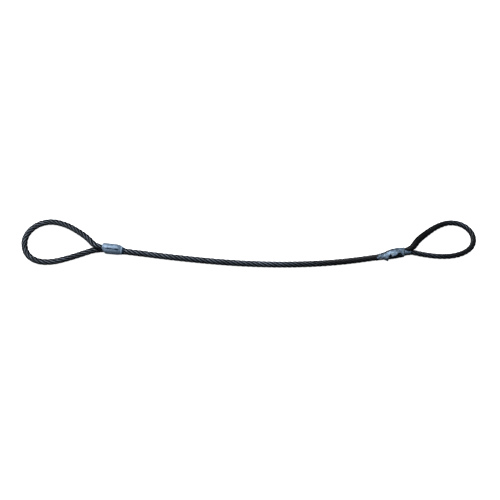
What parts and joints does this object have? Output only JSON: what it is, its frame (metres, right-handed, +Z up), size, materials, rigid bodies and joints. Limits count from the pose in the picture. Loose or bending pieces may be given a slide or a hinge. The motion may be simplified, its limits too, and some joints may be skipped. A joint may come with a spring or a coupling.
{
  "type": "wire rope sling",
  "caption": "Steel wire rope lifting sling with a soft eye at each end, closed by pressed ferrules, one of them wrapped in silver tape.",
  "frame": {"origin": "on the floor, under the middle of the sling's bounding box", "axes": "+X along the sling from the plain ferrule to the taped one, +Y across the sling, +Z up from the floor"},
  "size_m": [0.9793, 0.1183, 0.0247],
  "materials": {
    "rope": "dark, greasy, drawn wire",
    "core": "greased wire",
    "ferrule": "pressed, scuffed",
    "tape": "crumpled silver tape"
  },
  "bodies": {
    "left_end": {"left_ferrule": "ferrule", "left_live_leg_strands": "rope", "left_live_leg_core": "core", "left_dead_leg_strands": "rope", "left_dead_leg_core": "core", "left_eye_strands": "rope", "left_eye_core": "core", "left_tail_strands": "rope", "left_tail_core": "core"},
    "left_half": {"left_half_strands": "rope", "left_half_core": "core"},
    "right_half": {"right_half_strands": "rope", "right_half_core": "core"},
    "right_end": {"right_ferrule": "ferrule", "right_live_leg_strands": "rope", "right_live_leg_core": "core", "right_dead_leg_strands": "rope", "right_dead_leg_core": "core", "right_eye_strands": "rope", "right_eye_core": "core", "right_tail_strands": "rope", "right_tail_core": "core", "tape_wrap": "tape", "tape_band": "tape", "tape_corner": "tape"}
  },
  "joints": [
    {"name": "left_flex", "type": "hinge", "parent": "left_half", "child": "left_end", "pos_m": [-0.23499, -0.02639, 0.00638], "axis": [0, 0, 1], "range_deg": [-40, 40], "stiffness_Nm_per_rad": 5},
    {"name": "mid_flex", "type": "hinge", "parent": "left_half", "child": "right_half", "pos_m": [0.0175, -0.052, 0.006], "axis": [0, 0, 1], "range_deg": [-40, 40], "stiffness_Nm_per_rad": 5},
    {"name": "right_flex", "type": "hinge", "parent": "right_half", "child": "right_end", "pos_m": [0.23209, -0.0411, 0.00659], "axis": [0, 0, 1], "range_deg": [-40, 40], "stiffness_Nm_per_rad": 5}
  ]
}
